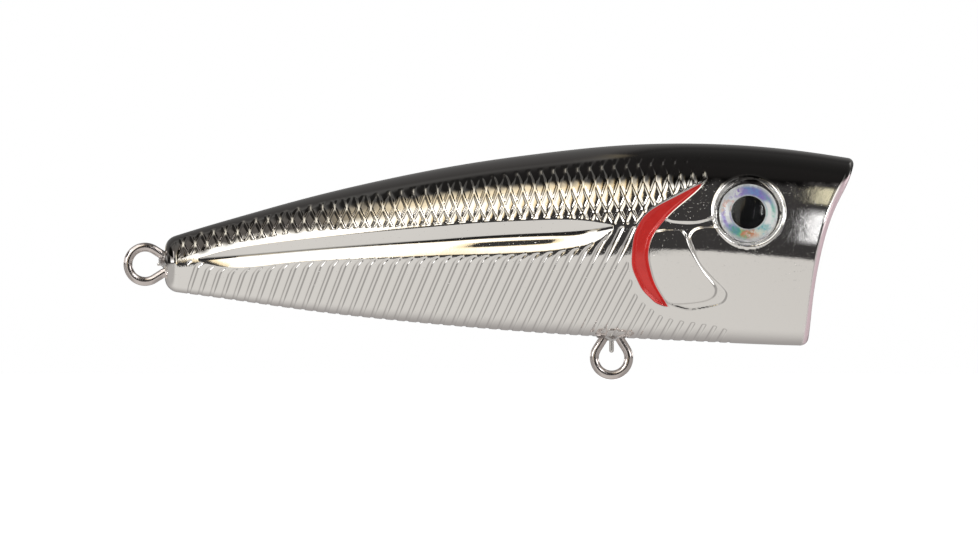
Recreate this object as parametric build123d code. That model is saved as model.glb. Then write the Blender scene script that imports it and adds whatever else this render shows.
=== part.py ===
from build123d import *
from math import cos, radians, sin, tan
import os

# A topwater popper: a hollow lure body moulded in two halves, with a cupped mouth, wire eyes for the line
# and the hooks, domed eyes, a tail weight and two rattle balls. Lengths are in millimetres.
#
# The parts are drawn with stations counted forward from the tail face and heights counted from the body's
# datum plane. The finished parts are then moved so that the centre of the line-tie loop is the origin.
# +X points forward out of the mouth, +Z is up and +Y is the lure's left.

# ---- Body shell: station, height of the back, height of the belly, half width ----
BODY_SECTIONS = [
    (0.0, 0.7, -5.3, 2.9),
    (4.0, 1.95, -5.85, 3.4),
    (9.0, 3.4, -6.55, 4.2),
    (16.0, 5.35, -7.55, 5.4),
    (25.0, 7.5, -8.6, 6.75),
    (34.5, 9.35, -9.5, 7.85),
    (44.0, 10.7, -10.25, 8.65),
    (53.0, 11.6, -10.8, 9.15),
    (62.5, 11.8, -11.25, 9.35),
    (72.0, 11.2, -11.65, 9.15),
    (84.0, 9.4, -11.85, 8.2),
]
WALL = 1.5
TAIL_ROUNDING = 1.3
CAVITY_SPAN = (10.4, 71.5)

# ---- Mouth: the rim lies on a concave sheet that runs straight across, given as station and height ----
RIM_CURVE = [
    (74.7, -13.0),
    (75.05, -9.5),
    (75.4, -6.0),
    (76.3, -0.9),
    (77.25, 2.5),
    (78.2, 4.8),
    (79.15, 6.65),
    (79.8, 8.15),
    (80.3, 9.8),
    (81.0, 12.5),
]
MOUTH_FRONT = 90.0
CUP_CENTRE = (78.1, -0.8)
CUP_DEPTH = 7.8
CUP_HALF_HEIGHT = 10.0
CUP_LEAN = 14.0
RIM_ROUNDING = 0.7
LIP_ROUNDING = 0.35

# ---- Wire hangers: a round loop outside, a neck in the wall and a smaller anchor ring inside ----
WIRE_RADIUS = 0.52
LOOP_RADIUS = 2.0
ANCHOR_RADIUS = 1.5
ANCHOR_OPENING = 25.0
LEG_LEAN = 32.4
NECK_HALF_GAP = 0.82
NECK_BEND = 1.5
CHANNEL_CLEARANCE = 0.02
LINE_TIE = (72.6, -0.5)
REAR_LOOP = (-2.32, -2.24)
BELLY_LOOP = (52.0, -13.14)
PEG_RADIUS = 0.27
PEG_ROOT = 3.6
REAR_PEG_TIP = 1.55
BELLY_PEG_TIP = 0.6

# ---- Eyes ----
EYE_STATION = 68.0
EYE_HEIGHT = 3.7
EYE_HALF_SPAN = 8.8
EYE_TILT = 15.5
EYE_RADIUS = 3.5
SOCKET_RADIUS = 4.05
SOCKET_FLOOR = -1.0
SOCKET_MOUTH = 3.0
FOIL_TOP = SOCKET_FLOOR + 0.25
PUPIL_RADIUS = 2.1
PUPIL_TOP = FOIL_TOP + 0.06
LENS_EDGE = 0.35
LENS_CROWN = 0.9
EYE_BOSS_RADIUS = 5.2
EYE_BOSS_BACK = -2.2

# ---- Inside the body ----
BALL_RADIUS = 2.25
TUBE_BORE_RADIUS = 2.45
TUBE_OUTER_RADIUS = 3.15
TUBE_END = 1.2
REAR_TUBE = ((24.0, 36.0), -4.2)
FRONT_TUBE = ((43.0, 57.0), -1.9)
WEB_HALF_WIDTH = 0.8
BALLAST_RADIUS = 2.8
BALLAST_SPAN = (10.45, 20.35)
BALLAST_HEIGHT = -1.9
BALLAST_CLEARANCE = 0.03
BULKHEADS = [(13.0, 14.2), (17.0, 18.2), (20.4, 21.6)]
BELLY_BOSS = ((48.0, 56.0), (-13.0, -4.2))
LINE_TIE_BOSS = ((62.8, 72.0), (-4.0, 3.0))
BOSS_HALF_WIDTH = 2.2
POST_PLACES = [(22.6, 3.0), (42.0, 5.6)]
POST_RADIUS = 1.7
PIN_PLACES = [(7.4, -1.9), (22.6, 3.0), (42.0, 5.6), (52.0, -5.3), (64.2, -0.5)]
PIN_RADIUS = 0.6
PIN_LENGTH = 1.6
PIN_ROOM = 0.05

FAR = 40.0


def body_loft(inset, first_station):
    """The body's outline from a station to past the mouth, drawn in by an inset."""
    rings = []
    for station, back, belly, half_width in BODY_SECTIONS:
        if station >= first_station:
            plane = Plane(origin=(station, 0, (back + belly) / 2), x_dir=(0, 0, 1), z_dir=(1, 0, 0))
            rings.append(plane * Ellipse((back - belly) / 2 - inset, half_width - inset))
    return loft(rings)


def slab(stations, heights, half_width):
    """A block between two stations and two heights, centred on the seam."""
    middle = Pos(sum(stations) / 2, 0, sum(heights) / 2)
    return middle * Box(stations[1] - stations[0], 2 * half_width, heights[1] - heights[0])


def rod(stations, height, radius):
    """A round bar that runs along the lure, on the seam."""
    bar = Cylinder(radius, stations[1] - stations[0], rotation=(0, 90, 0))
    return Pos(sum(stations) / 2, 0, height) * bar


def crossbar(place, radius, side_from, side_to):
    """A round bar that runs across the lure, between two distances from the seam."""
    bar = Cylinder(radius, side_to - side_from, rotation=(90, 0, 0))
    return Pos(place[0], (side_from + side_to) / 2, place[1]) * bar


def mouth_cutter():
    """Everything in front of the concave sheet that the rim lies on."""
    rim = Spline([Vector(station, 0, height) for station, height in RIM_CURVE])
    top = Line(rim @ 1, (MOUTH_FRONT, 0, RIM_CURVE[-1][1]))
    front = Line(top @ 1, (MOUTH_FRONT, 0, RIM_CURVE[0][1]))
    bottom = Line(front @ 1, rim @ 0)
    side = make_face([rim, top, front, bottom])
    return extrude(side, amount=FAR, dir=(0, 1, 0), both=True)


def cup(extra):
    """The scoop of the mouth, a spun half ellipse that leans forward with the rim, grown by an extra."""
    arc = EllipticalCenterArc((0, 0), CUP_DEPTH + extra, CUP_HALF_HEIGHT + extra, start_angle=-90, arc_size=180)
    half = Plane.XZ * make_face([arc, Line(arc @ 1, arc @ 0)])
    return Pos(CUP_CENTRE[0], 0, CUP_CENTRE[1]) * Rot(0, CUP_LEAN, 180) * revolve(half, Axis.Z)


def solid_body():
    """The outside of the body with its scooped mouth, before it is hollowed."""
    body = body_loft(0, 0)
    tail_face = body.faces().sort_by(Axis.X)[0]
    body = fillet(tail_face.edges(), TAIL_ROUNDING)
    body = body - mouth_cutter() - cup(0)
    body = fillet(rim_edges(body)[0], RIM_ROUNDING)
    return fillet(rim_edges(body)[1], LIP_ROUNDING)


def rim_edges(body):
    """The long edges of the mouth's rim: those on the outside of the lip, then those on its inside."""
    rim_faces = body.faces().filter_by(GeomType.EXTRUSION)
    long_edges = [edge for edge in rim_faces.edges() if edge.length > CUP_HALF_HEIGHT]
    middle_length = sum(edge.length for edge in long_edges) / len(long_edges)
    outside = [edge for edge in long_edges if edge.length > middle_length]
    inside = [edge for edge in long_edges if edge.length <= middle_length]
    return outside, inside


def hanger_path():
    """Half of a hanger's centre line, from the tip of its loop to the cut end of its anchor ring."""
    lean = radians(LEG_LEAN)
    corner_v = NECK_HALF_GAP - NECK_BEND * (1 / cos(lean) - 1)
    corner_u = -LOOP_RADIUS * sin(lean) - (LOOP_RADIUS * cos(lean) - corner_v) / tan(lean)
    anchor_reach = ANCHOR_RADIUS * sin(lean) + (ANCHOR_RADIUS * cos(lean) - corner_v) / tan(lean)
    loop = CenterArc((0, 0), LOOP_RADIUS, 0, 90 + LEG_LEAN)
    neck = CenterArc((corner_u, NECK_HALF_GAP + NECK_BEND), NECK_BEND, LEG_LEAN - 90, -2 * LEG_LEAN)
    anchor_sweep = 90 + LEG_LEAN - ANCHOR_OPENING
    anchor = CenterArc((corner_u - anchor_reach, 0), ANCHOR_RADIUS, 90 - LEG_LEAN, anchor_sweep)
    return [loop, Line(loop @ 1, neck @ 0), neck, Line(neck @ 1, anchor @ 0), anchor]


def hanger(loop_plane, extra):
    """A wire hanger with its loop at the plane's origin and its anchor along the plane's -X."""
    upper = hanger_path()
    lower = [mirror(edge, about=Plane.XZ) for edge in upper]
    line = Wire(Curve() + upper + lower)
    section = Plane(origin=line @ 0, z_dir=line % 0) * Circle(WIRE_RADIUS + extra)
    return loop_plane * sweep(section, path=line)


def loop_plane(place, outward):
    """The plane of a hanger's loop, which stands in the seam, with x pointing out of the body."""
    return Plane(origin=(place[0], 0, place[1]), x_dir=outward, z_dir=(0, -1, 0))


REAR_PLANE = loop_plane(REAR_LOOP, (-1, 0, 0))
BELLY_PLANE = loop_plane(BELLY_LOOP, (0, 0, -1))
LINE_TIE_PLANE = loop_plane(LINE_TIE, (1, 0, 0))


def peg(plane, tip):
    """The moulded peg that fills the neck of a hanger, from inside the wall to a tip short of the loop."""
    length = PEG_ROOT - tip
    bar = Cylinder(PEG_RADIUS, length, rotation=(0, 90, 0))
    return plane * (Pos(-(PEG_ROOT + tip) / 2, 0, 0) * bar)


def eye_disc(side, radius, low, high):
    """A disc square to the eye, between two heights measured out from the body's surface."""
    tilt = radians(EYE_TILT)
    facing = (0, side * cos(tilt), sin(tilt))
    plane = Plane(origin=(EYE_STATION, side * EYE_HALF_SPAN, EYE_HEIGHT), x_dir=(1, 0, 0), z_dir=facing)
    return plane * (Pos(0, 0, (low + high) / 2) * Cylinder(radius, high - low))


def eye_lens(side):
    """The clear domed lens, hollowed underneath for the pupil."""
    rim = Line((0, 0), (EYE_RADIUS, 0))
    edge = Line(rim @ 1, (EYE_RADIUS, LENS_EDGE))
    crown_radius = (EYE_RADIUS**2 + LENS_CROWN**2) / (2 * LENS_CROWN)
    crown = RadiusArc(edge @ 1, (0, LENS_EDGE + LENS_CROWN), -crown_radius)
    profile = Plane.XZ * make_face([rim, edge, crown, Line(crown @ 1, rim @ 0)])
    tilt = radians(EYE_TILT)
    facing = Vector(0, side * cos(tilt), sin(tilt))
    centre = Vector(EYE_STATION, side * EYE_HALF_SPAN, EYE_HEIGHT) + facing * FOIL_TOP
    dome = Plane(origin=centre, x_dir=(1, 0, 0), z_dir=facing) * revolve(profile, Axis.Z)
    return dome - eye_disc(side, PUPIL_RADIUS, FOIL_TOP, PUPIL_TOP)


def rattle_tube(tube):
    """The wall of a rattle tube, with its ends and the web that carries it."""
    stations, height = tube
    ends = (stations[0] - TUBE_END, stations[1] + TUBE_END)
    web = slab(ends, (-FAR / 2, height), WEB_HALF_WIDTH)
    return rod(ends, height, TUBE_OUTER_RADIUS) + web


def hollow():
    """The air space inside the body: the cavity less every boss, web, tube and bulkhead in it."""
    space = body_loft(WALL, BODY_SECTIONS[2][0]) & slab(CAVITY_SPAN, (-FAR, FAR), FAR)
    space -= cup(WALL)
    space -= slab(*BELLY_BOSS, BOSS_HALF_WIDTH)
    space -= slab(*LINE_TIE_BOSS, BOSS_HALF_WIDTH)
    for stations in BULKHEADS:
        space -= slab(stations, (-FAR, FAR), FAR)
    for tube in (REAR_TUBE, FRONT_TUBE):
        space -= rattle_tube(tube)
    for place in POST_PLACES:
        space -= crossbar(place, POST_RADIUS, -FAR, FAR)
    for side in (-1, 1):
        space -= eye_disc(side, EYE_BOSS_RADIUS, EYE_BOSS_BACK, SOCKET_MOUTH)
    return space


def shell():
    """Both body halves in one, hollowed and cut for everything that they hold."""
    body = solid_body()
    body += peg(REAR_PLANE, REAR_PEG_TIP)
    body += peg(BELLY_PLANE, BELLY_PEG_TIP)
    body -= hollow()
    body -= rod(BALLAST_SPAN, BALLAST_HEIGHT, BALLAST_RADIUS + BALLAST_CLEARANCE)
    for stations, height in (REAR_TUBE, FRONT_TUBE):
        body -= rod(stations, height, TUBE_BORE_RADIUS)
    for plane in (REAR_PLANE, BELLY_PLANE, LINE_TIE_PLANE):
        body -= hanger(plane, CHANNEL_CLEARANCE)
    for side in (-1, 1):
        body -= eye_disc(side, SOCKET_RADIUS, SOCKET_FLOOR, SOCKET_MOUTH)
    return body


def body_halves():
    """The left and right halves, located on each other by pins on the left half."""
    whole = shell()
    left = split(whole, bisect_by=Plane.XZ, keep=Keep.BOTTOM)
    right = split(whole, bisect_by=Plane.XZ, keep=Keep.TOP)
    if left.center().Y < right.center().Y:
        left, right = right, left
    for place in PIN_PLACES:
        left += crossbar(place, PIN_RADIUS, -PIN_LENGTH, PIN_LENGTH)
        right -= crossbar(place, PIN_RADIUS + PIN_ROOM, -PIN_LENGTH - PIN_ROOM, PIN_ROOM)
    return left, right


def rattle_ball(tube):
    """A steel ball at the middle of its tube."""
    stations, height = tube
    return Pos(sum(stations) / 2, 0, height) * Sphere(BALL_RADIUS)


def popper():
    """Every part by name, in the drawing frame."""
    left, right = body_halves()
    parts = {
        "body_left_half": left,
        "body_right_half": right,
        "rear_hanger": hanger(REAR_PLANE, 0),
        "belly_hanger": hanger(BELLY_PLANE, 0),
        "line_tie_hanger": hanger(LINE_TIE_PLANE, 0),
        "tail_ballast": rod(BALLAST_SPAN, BALLAST_HEIGHT, BALLAST_RADIUS),
        "rear_rattle_ball": rattle_ball(REAR_TUBE),
        "front_rattle_ball": rattle_ball(FRONT_TUBE),
    }
    for name, side in (("left", 1), ("right", -1)):
        parts[f"{name}_eye_foil"] = eye_disc(side, EYE_RADIUS, SOCKET_FLOOR, FOIL_TOP)
        parts[f"{name}_eye_pupil"] = eye_disc(side, PUPIL_RADIUS, FOIL_TOP, PUPIL_TOP)
        parts[f"{name}_eye_lens"] = eye_lens(side)
    return parts


os.makedirs("parts", exist_ok=True)
for part_name, drawn in popper().items():
    export_step(Pos(-LINE_TIE[0], 0, -LINE_TIE[1]) * drawn, f"parts/{part_name}.step")
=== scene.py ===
"""A topwater popper: plated, ribbed and scaled body halves, holographic eyes, wire hangers and rattles."""

from math import cos, pi, radians, sin

import bpy
import numpy as np
from mathutils import Matrix, Vector
from mathutils.geometry import delaunay_2d_cdt


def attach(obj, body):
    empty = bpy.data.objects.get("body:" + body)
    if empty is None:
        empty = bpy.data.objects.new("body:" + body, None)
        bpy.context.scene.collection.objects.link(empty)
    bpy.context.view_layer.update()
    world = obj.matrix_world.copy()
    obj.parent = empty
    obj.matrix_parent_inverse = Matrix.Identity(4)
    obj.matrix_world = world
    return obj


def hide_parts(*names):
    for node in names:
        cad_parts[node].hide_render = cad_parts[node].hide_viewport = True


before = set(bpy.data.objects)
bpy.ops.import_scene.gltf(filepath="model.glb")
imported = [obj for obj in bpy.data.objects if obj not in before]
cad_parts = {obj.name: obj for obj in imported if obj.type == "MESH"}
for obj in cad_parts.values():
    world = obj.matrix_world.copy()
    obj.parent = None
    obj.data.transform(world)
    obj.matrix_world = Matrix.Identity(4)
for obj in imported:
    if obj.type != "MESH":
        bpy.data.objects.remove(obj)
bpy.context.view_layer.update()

# The body's own measures, in millimetres: stations run from the tail face
# forward, heights from the level of the CAD datum. The frame's origin is at
# the line tie.
LINE_TIE = (72.6, -0.5)
REAR_LOOP = (-2.32, -2.24)
BELLY_LOOP = (52.0, -13.14)

BODY_SECTIONS = [
    # station, back height, belly height, half width
    (0.0, 0.7, -5.3, 2.9),
    (4.0, 1.95, -5.85, 3.4),
    (9.0, 3.4, -6.55, 4.2),
    (16.0, 5.35, -7.55, 5.4),
    (25.0, 7.5, -8.6, 6.75),
    (34.5, 9.35, -9.5, 7.85),
    (44.0, 10.7, -10.25, 8.65),
    (53.0, 11.6, -10.8, 9.15),
    (62.5, 11.8, -11.25, 9.35),
    (72.0, 11.2, -11.65, 9.15),
    (84.0, 9.4, -11.85, 8.2),
]
RIM_CURVE = [
    # station, height of the mouth's rim seen from the side
    (74.7, -13.0), (75.05, -9.5), (75.4, -6.0), (76.3, -0.9), (77.25, 2.5),
    (78.2, 4.8), (79.15, 6.65), (79.8, 8.15), (80.3, 9.8), (81.0, 12.5),
]
CUP_CENTRE = (78.1, -0.8)
CUP_DEPTH = 7.8
CUP_HALF_HEIGHT = 10.0
CUP_LEAN = 14.0
MOUTH_MIDDLE = (77.0, 0.0, -0.8)
TAIL_ROUNDING = 1.65
RIM_ROUNDING = [(-12.0, 1.0), (-9.0, 0.75), (0.0, 0.75), (6.0, 0.75), (10.2, 0.72)]
LIP_ROUNDING = [(-12.0, 0.35), (5.0, 0.3), (10.0, 0.3)]

EYE_CENTRE = (67.85, 8.8, 3.92)
EYE_TILT = 15.5
EYE_RADIUS = 3.4
SOCKET_RADIUS = 3.9
SOCKET_FLOOR = -1.0
FOIL_TOP = -0.75
PUPIL_RADIUS = 1.92
PUPIL_TOP = -0.69
LENS_EDGE = 0.35
LENS_CROWN = 0.9
EYE_BEVEL = 0.06

# ---- Surface relief, in millimetres ----
SPEAR_UPPER = [
    (3.6, -1.7), (7.4, -0.6), (11.1, 0.05), (18.6, 0.95), (25.0, 1.62), (31.2, 2.17), (37.0, 2.63),
    (42.5, 2.87), (48.3, 2.9), (52.6, 2.2),
]
SPEAR_VALLEY = [(3.6, -1.7), (11.0, -1.1), (17.9, -0.5), (31.2, 0.5), (42.5, 1.2), (48.3, 1.5), (52.6, 2.2)]
SPEAR_LOWER = [
    (3.6, -1.7), (6.1, -2.4), (13.9, -2.1), (25.5, -1.5), (34.0, -1.2), (42.5, -0.9), (47.2, -0.4),
    (50.2, 0.5), (52.6, 2.2),
]
SPEAR_SPAN = (SPEAR_UPPER[0][0], SPEAR_UPPER[-1][0])
SPEAR_NOSE = 52.2
SPEAR_LOWER_SLOPE = 0.44
SPEAR_UPPER_SLOPE = 0.46
SPEAR_FLOOR = [(0.0, 0.32), (34.0, 0.36), (40.0, 0.5), (54.0, 0.45)]
SPEAR_FLAT = 0.24
SPEAR_STEPS = ((0.0, 0.0), (0.42, 0.52), (0.74, 0.66), (1.0, 1.0))

RIB_PITCH = 1.34
RIB_SLANT = [(0.0, 0.325), (40.0, 0.466), (66.0, 0.6)]
RIB_GROOVE = 0.2
RIB_WALL = 0.15
RIB_DEPTH = 0.11
RIB_HOOK = 0.6
RIB_HOOK_HEIGHT = 1.0
RIB_START = 2.8
RIB_TOP = 2.6
RIB_LIMIT = [
    # height, furthest station of the rib field
    (-11.6, 65.7), (-10.6, 65.4), (-9.7, 64.7), (-9.2, 62.3), (-8.75, 59.2), (-8.0, 57.2), (-6.5, 55.2),
    (-4.9, 54.3), (-2.9, 53.8), (0.5, 53.9), (2.2, 54.6),
]

SCALE_PITCH = 1.41
SCALE_ROWS = [
    # height of a row of crossings at the tail, row number
    (-5.6, -7.0), (-2.7, -5.0), (-1.3, -4.0), (0.1, -3.0), (1.5, -2.0), (2.9, -1.0), (4.35, 0.0), (6.2, 1.0),
    (8.0, 2.0), (9.7, 3.0), (13.1, 5.0),
]
SCALE_RISE = [(0.0, 0.0), (20.0, 0.0), (33.0, 0.05), (46.0, 0.67), (53.0, 1.15), (60.0, 1.7), (64.0, 2.1)]
SCALE_GROOVE = 0.17
SCALE_WALL = 0.15
SCALE_DEPTH = [(0.0, 0.10), (40.0, 0.10), (50.0, 0.065), (66.0, 0.06)]
SCALE_CROWN = 0.02
SCALE_PIT = 0.06
SCALE_SQUARE = 0.91  # share of a step along the body that is square to a crossing line
SCALE_FLOOR = [
    # station, height where the scales start above the spear groove
    (0.0, -2.2), (3.6, -1.0), (7.4, 0.05), (11.1, 0.7), (14.9, 1.35), (18.6, 1.7), (22.3, 1.92), (26.0, 2.08),
    (31.2, 2.38), (37.0, 2.8), (42.5, 3.03), (48.3, 3.05), (52.6, 2.35),
]
SCALE_SPAN = (1.2, 63.2)
SCALE_GILL_GAP = 0.35
SCALE_TOP = [
    # station, height where the scales fade out on the back
    (0.0, 0.2), (5.0, 1.5), (10.6, 2.9), (18.0, 4.6), (25.3, 5.8), (35.0, 7.3), (45.0, 8.7), (54.0, 9.7),
    (60.0, 9.8), (66.0, 9.2),
]

GILL_OUTER = [
    # height, station of the gill slash's rear edge
    (-7.24, 58.55), (-7.0, 57.7), (-6.4, 56.7), (-5.4, 55.7), (-4.2, 55.0), (-2.7, 54.4), (-0.8, 54.35),
    (1.1, 54.6), (3.0, 55.5), (4.2, 56.7), (5.4, 58.7), (6.7, 61.1), (7.7, 63.1),
]
GILL_INNER = [
    (-7.24, 58.55), (-6.3, 58.0), (-5.25, 57.35), (-4.1, 56.8), (-2.7, 56.4), (-1.5, 56.2), (-0.2, 56.3),
    (1.2, 56.8), (2.45, 57.7), (3.8, 58.9), (5.2, 60.5), (6.5, 62.0), (7.7, 63.1),
]
GILL_SPAN = (GILL_OUTER[0][0], GILL_OUTER[-1][0])
GILL_SQUARE = 0.8  # share of a step along the body that is square to the gill's slanting edge
GILL_DEPTH = 0.4
GILL_BARE = 0.2

COVER_CHANNEL = [
    # the sunk channel round the gill plate, from the gill slash to the eye and back round
    (57.6, 3.2), (59.1, 2.8), (61.5, 2.7), (63.0, 3.0), (64.2, 3.4), (64.2, 2.15), (62.2, 1.9), (61.4, 1.5),
    (61.1, 0.8), (61.5, -0.4), (62.2, -2.0), (63.4, -3.4), (64.9, -4.9), (65.4, -5.7), (65.1, -6.6),
    (64.2, -7.1), (62.2, -7.5), (60.9, -7.6), (58.9, -7.0), (58.0, -6.2), (59.3, -6.8), (62.2, -6.6),
    (63.6, -6.1), (64.0, -5.35), (63.7, -4.6), (62.6, -3.2), (61.5, -1.3), (60.9, -0.1), (60.5, 1.05),
    (59.9, 1.6), (58.2, 1.65), (56.7, 1.6),
]
COVER_STATIONS = (56.5, 67)
COVER_HEIGHTS = (-9, 4.8)
CHANNEL_DEPTH = 0.2
CHANNEL_WALL = 0.22

BACK_FADE_LINE = [
    # station, height above which the black back is solid
    (-1.0, -0.6), (5.0, 1.5), (10.6, 2.9), (18.0, 4.0), (25.3, 4.95), (35.0, 6.25), (45.0, 7.2), (53.0, 7.45),
    (62.0, 7.4), (70.0, 7.1), (82.0, 7.3),
]

PEG_ROOT = 3.6
REAR_PEG = (0.18, 1.38)
BELLY_PEG = (0.27, 0.6)

RING_CENTRE = (67.87, 3.9)
RING_RADIUS = 4.12
RING_HALF_WIDTH = 0.15
RING_HEIGHT = 0.1

# ---- How finely the skin is built ----
ROWS = 271
FINE_STEP = 0.075
FINE_END = 66.0
EYE_END = 72.8
EYE_STEP = 0.07
HEAD_END = 80.0
HEAD_COLUMNS = 26
TAIL_COLUMNS_END = 3
CUP_STEPS = 200
CUP_RINGS = 34
ROUND_STEPS = 10
LIP_STEPS = 6


def natural_spline(points, swap=False):
    """The smooth function through the points: the second coordinate from the first, or swapped."""
    table = np.array(points, float)
    x, y = (table[:, 1], table[:, 0]) if swap else (table[:, 0], table[:, 1])
    gap = np.diff(x)
    last = len(x) - 1
    matrix = np.eye(len(x))
    right = np.zeros(len(x))
    for i in range(1, last):
        matrix[i, i - 1:i + 2] = gap[i - 1], 2 * (gap[i - 1] + gap[i]), gap[i]
        right[i] = 6 * ((y[i + 1] - y[i]) / gap[i] - (y[i] - y[i - 1]) / gap[i - 1])
    bend = np.linalg.solve(matrix, right)

    def value(at):
        at = np.asarray(at, float)
        i = np.clip(np.searchsorted(x, at) - 1, 0, last - 1)
        a = (x[i + 1] - at) / gap[i]
        b = (at - x[i]) / gap[i]
        curve = ((a**3 - a) * bend[i] + (b**3 - b) * bend[i + 1]) * gap[i] ** 2 / 6
        return a * y[i] + b * y[i + 1] + curve

    return value


def smooth_step(low, high, value):
    """0 below low, 1 above high, and a smooth rise between."""
    t = np.clip((value - low) / (high - low), 0, 1)
    return t * t * (3 - 2 * t)


def soft_min(a, b, blend):
    """The lesser of two, rounded where they cross."""
    h = np.clip(0.5 + (b - a) / (2 * blend), 0, 1)
    return b + (a - b) * h - blend * h * (1 - h)


def soft_max(a, b, blend):
    """The greater of two, rounded where they cross."""
    return -soft_min(-a, -b, blend)


def unit(vectors):
    """The vectors at length 1."""
    return vectors / np.maximum(np.linalg.norm(vectors, axis=-1, keepdims=True), 1e-12)


BACK = natural_spline([(s, top) for s, top, _, _ in BODY_SECTIONS])
BELLY = natural_spline([(s, low) for s, _, low, _ in BODY_SECTIONS])
HALF_WIDTH = natural_spline([(s, wide) for s, _, _, wide in BODY_SECTIONS])
RIM_STATION = natural_spline(RIM_CURVE, swap=True)
SPEAR_TOP = natural_spline(SPEAR_UPPER)
SPEAR_DEEP = natural_spline(SPEAR_VALLEY)
SPEAR_FOOT = natural_spline(SPEAR_LOWER)
VALLEY_FLOOR = natural_spline(SPEAR_FLOOR)
SLANT = natural_spline(RIB_SLANT)
RIB_END = natural_spline(RIB_LIMIT)
ROW_NUMBER = natural_spline(SCALE_ROWS)
RISE = natural_spline(SCALE_RISE)
SCALES_END = natural_spline(SCALE_TOP)
SCALES_START = natural_spline(SCALE_FLOOR)
SCALES_DEEP = natural_spline(SCALE_DEPTH)
GILL_REAR = natural_spline(GILL_OUTER)
GILL_FRONT = natural_spline(GILL_INNER)
BACK_FADE = natural_spline(BACK_FADE_LINE)
RIM_RADIUS = natural_spline(RIM_ROUNDING)
LIP_RADIUS = natural_spline(LIP_ROUNDING)


def to_frame(points):
    """Station, side and height in millimetres to the row frame in metres."""
    out = np.array(points, float)
    out[..., 0] -= LINE_TIE[0]
    out[..., 2] -= LINE_TIE[1]
    return out / 1000


# ---- Relief: how deep the skin is sunk below the plain body, by station and height ----
def spear_relief(s, z):
    """The long V-groove down the flank: a flat upper facet and a steeper lower one."""
    top, deep, foot = SPEAR_TOP(s), SPEAR_DEEP(s), SPEAR_FOOT(s)
    depth = np.maximum(SPEAR_LOWER_SLOPE * (deep - foot), SPEAR_UPPER_SLOPE * (top - deep))
    upper = depth * (top - z) / np.maximum(top - deep, 0.02)
    rise = (z - foot) / np.maximum(deep - foot, 0.02)
    stepped = np.interp(rise, *zip(*SPEAR_STEPS)) - np.clip(rise, 0, 1)
    lower = depth * (rise + stepped * smooth_step(32, 38, s) * smooth_step(48, 44, s))
    floor = depth - SPEAR_FLAT * VALLEY_FLOOR(s)
    facets = soft_min(soft_min(upper, lower, 0.015), floor, 0.01)
    sunk = soft_max(facets, 0.0, 0.005)
    return np.where((s > SPEAR_SPAN[0]) & (s < SPEAR_SPAN[1]), sunk, 0.0)


def rib_relief(s, z):
    """Slanted grooves between flat ribs, each ending round below the spear groove or behind the gill."""
    edge = SPEAR_FOOT(np.clip(s, *SPEAR_SPAN))
    near_top = np.where(s < SPEAR_NOSE, np.clip((z - edge + RIB_HOOK_HEIGHT) / RIB_HOOK_HEIGHT, 0, 1), 0)
    straight = s - RIB_HOOK * near_top**2
    foot = straight.copy()
    for _ in range(5):
        foot = straight - SLANT(foot) * (z - BELLY(foot))
    groove = foot / RIB_PITCH
    lean = np.arctan(SLANT(foot))
    across = np.abs(groove - np.round(groove)) * RIB_PITCH * np.cos(lean)
    under_spear = np.where(s < SPEAR_NOSE, z - edge + 0.3, z - 1.9)
    level = np.clip(z, RIB_LIMIT[0][0], RIB_LIMIT[-1][0])
    beyond = np.maximum.reduce([under_spear, s - RIB_END(level), RIB_START - s])
    away = np.hypot(across, np.maximum(beyond, 0))
    depth = RIB_DEPTH * (0.7 + 0.3 * smooth_step(0.1, 1.6, z - BELLY(s))) * (1 - 0.6 * near_top)
    return depth * smooth_step(RIB_GROOVE + RIB_WALL / 2, RIB_GROOVE - RIB_WALL / 2, away)


def scale_coordinates(s, z):
    """How far the point lies along each of the two families of crossing lines, in scales."""
    row = ROW_NUMBER(z - RISE(np.clip(s, 0, 64)))
    return s / SCALE_PITCH - row / 2, s / SCALE_PITCH + row / 2


def scale_zone(s, z):
    """1 where the scales are, above the spear groove and behind the gill, and 0 elsewhere."""
    floor = SCALES_START(np.clip(s, 0, SPEAR_SPAN[1]))
    gill = GILL_REAR(np.clip(z, *GILL_SPAN)) - SCALE_GILL_GAP
    front = np.where(z < GILL_SPAN[1], gill, SCALE_SPAN[1])
    inside = np.minimum.reduce([z - floor, front - s, s - SCALE_SPAN[0]])
    return smooth_step(0.0, 0.12, inside) * smooth_step(0.5, -0.3, z - SCALES_END(s))


def scale_relief(s, z):
    """Tall diamond scales: engraved crossing lines, a low crown on each, and a pit at each crossing."""
    a, b = scale_coordinates(s, z)
    line_a, line_b = (np.abs(k - np.round(k)) * SCALE_PITCH * SCALE_SQUARE for k in (a, b))
    nearest = soft_min(line_a, line_b, 0.04)
    slope = np.clip((SCALE_GROOVE + SCALE_WALL / 2 - nearest) / SCALE_WALL, 0, 1)
    under_paint = smooth_step(-0.3, 0.6, z - BACK_FADE(s))
    grooves = SCALES_DEEP(np.clip(s, 0, 66)) * slope * (1 - 0.6 * under_paint)
    crown = SCALE_CROWN * np.abs(np.sin(pi * a) * np.sin(pi * b))
    pit = SCALE_PIT * np.exp(-(line_a**2 + line_b**2) / 0.17**2) * under_paint
    return (grooves - crown + pit) * scale_zone(s, z)


def gill_inside(s, z):
    """Distance in from the nearest edge of the gill slash, negative outside it."""
    level = np.clip(z, *GILL_SPAN)
    rear, front = GILL_REAR(level), GILL_FRONT(level)
    inside = np.minimum((s - rear), (front - s)) * GILL_SQUARE
    return np.where((z > GILL_SPAN[0]) & (z < GILL_SPAN[1]), inside, -1.0)


def bare_bevel(s, z):
    """How much of the gill slash's upper rear wall is left bright, in millimetres of paint missing."""
    rear = (s - GILL_REAR(np.clip(z, *GILL_SPAN))) * GILL_SQUARE
    return GILL_BARE * smooth_step(3.2, 6.2, z) * smooth_step(0.9, 0.3, rear)


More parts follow.
